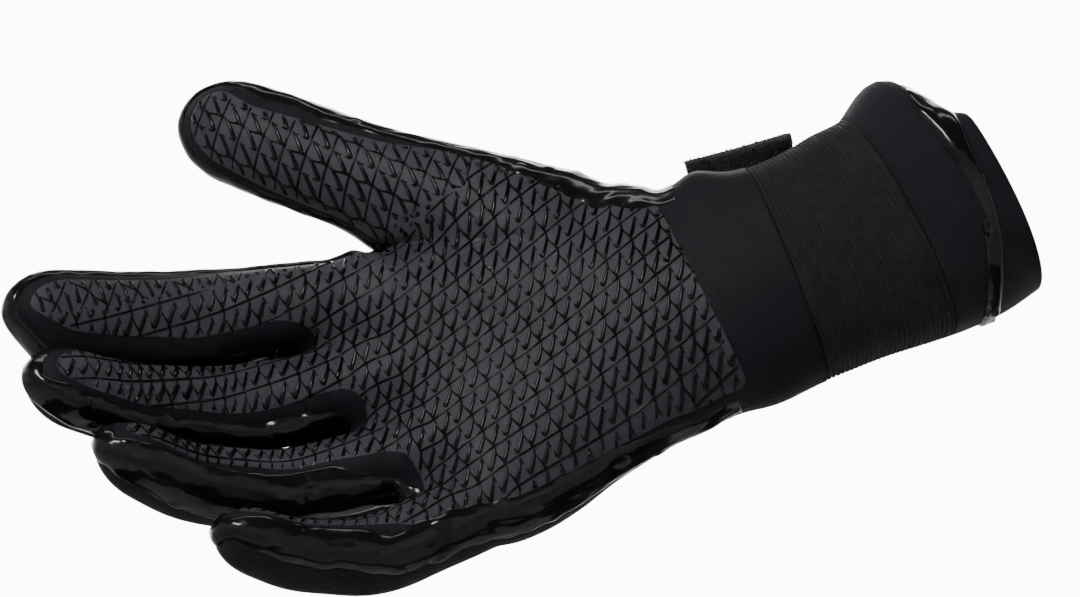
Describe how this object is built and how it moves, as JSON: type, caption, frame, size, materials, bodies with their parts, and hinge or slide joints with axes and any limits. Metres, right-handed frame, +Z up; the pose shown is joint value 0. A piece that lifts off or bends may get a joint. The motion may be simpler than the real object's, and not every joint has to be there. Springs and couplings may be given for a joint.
{
  "type": "neoprene glove",
  "caption": "Hollow right-hand neoprene glove held up in a worn pose: palm panel with grip print, back panel, sealed outline seam, ribbed wrist band, hook tab, cuff and hem.",
  "frame": {"origin": "centre of the wrist mouth, where the glove is held up by the arm it sits on", "axes": "+X from the fingertips to the mouth and on along the forearm, the length of the glove; -Y out of the palm, towards the viewer; +Z up, to the thumb side"},
  "size_m": [0.2765, 0.1044, 0.1389],
  "materials": {
    "palm_print": "matte dark grey neoprene jersey with a raised rubber grip print",
    "neoprene": "matte near-black neoprene jersey",
    "liquid_rubber": "glossy black liquid rubber",
    "elastic": "matte black elastic with fine ribs round the wrist",
    "hem": "matte black folded edge",
    "strap_pile": "fuzzy black loop pile",
    "stripe": "satin red rubber print"
  },
  "bodies": {
    "root": {"palm_panel": "palm_print", "back_panel": "neoprene", "seam_seal": "liquid_rubber", "wrist_band": "elastic", "cuff": "neoprene", "cuff_hem": "hem", "cuff_seam": "liquid_rubber", "closing_strap": "strap_pile", "thumb_stripe": "stripe"}
  },
  "joints": []
}
